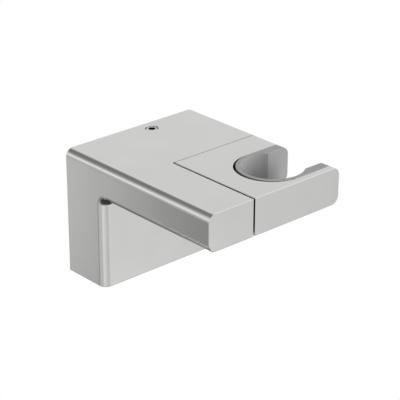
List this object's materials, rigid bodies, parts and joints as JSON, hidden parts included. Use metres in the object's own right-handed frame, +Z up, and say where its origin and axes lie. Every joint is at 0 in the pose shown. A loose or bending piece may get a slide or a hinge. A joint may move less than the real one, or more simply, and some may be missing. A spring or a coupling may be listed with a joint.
{
  "type": "hand shower holder",
  "caption": "Wall-mounted hand shower holder: a square cast arm on a leg, with a tilting cradle whose lined slot takes the shower's cone from the side.",
  "frame": {"origin": "on the wall, in the middle of the body's back, midway between the two wall screws", "axes": "+X to the right along the wall, as seen from the room; +Y into the wall; +Z up. The arm reaches towards -Y"},
  "size_m": [0.065, 0.0804, 0.0512],
  "materials": {
    "satin_metal": "fine blasted satin, plated",
    "grey_plastic": "matt moulded, mid grey",
    "screw_steel": "plain stainless",
    "plate_steel": "zinc plated",
    "bearing_plastic": "black acetal",
    "black_rubber": "moulded black"
  },
  "bodies": {
    "holder": {"body": "satin_metal", "wall_plate": "plate_steel", "wall_gasket": "black_rubber", "body_set_screw": "screw_steel", "pivot_bush": "bearing_plastic", "pivot_seal": "black_rubber", "gap_washer": "bearing_plastic", "pin_keeper_screw": "screw_steel"},
    "tilting_cradle": {"cradle": "satin_metal", "cradle_liner": "grey_plastic", "pivot_pin": "screw_steel", "pin_lock_screw": "screw_steel"}
  },
  "joints": [
    {"name": "cradle_tilt", "type": "hinge", "parent": "holder", "child": "tilting_cradle", "pos_m": [0, -0.0445, 0.0182], "axis": [-1, 0, 0], "range_deg": [-30, 30]}
  ]
}
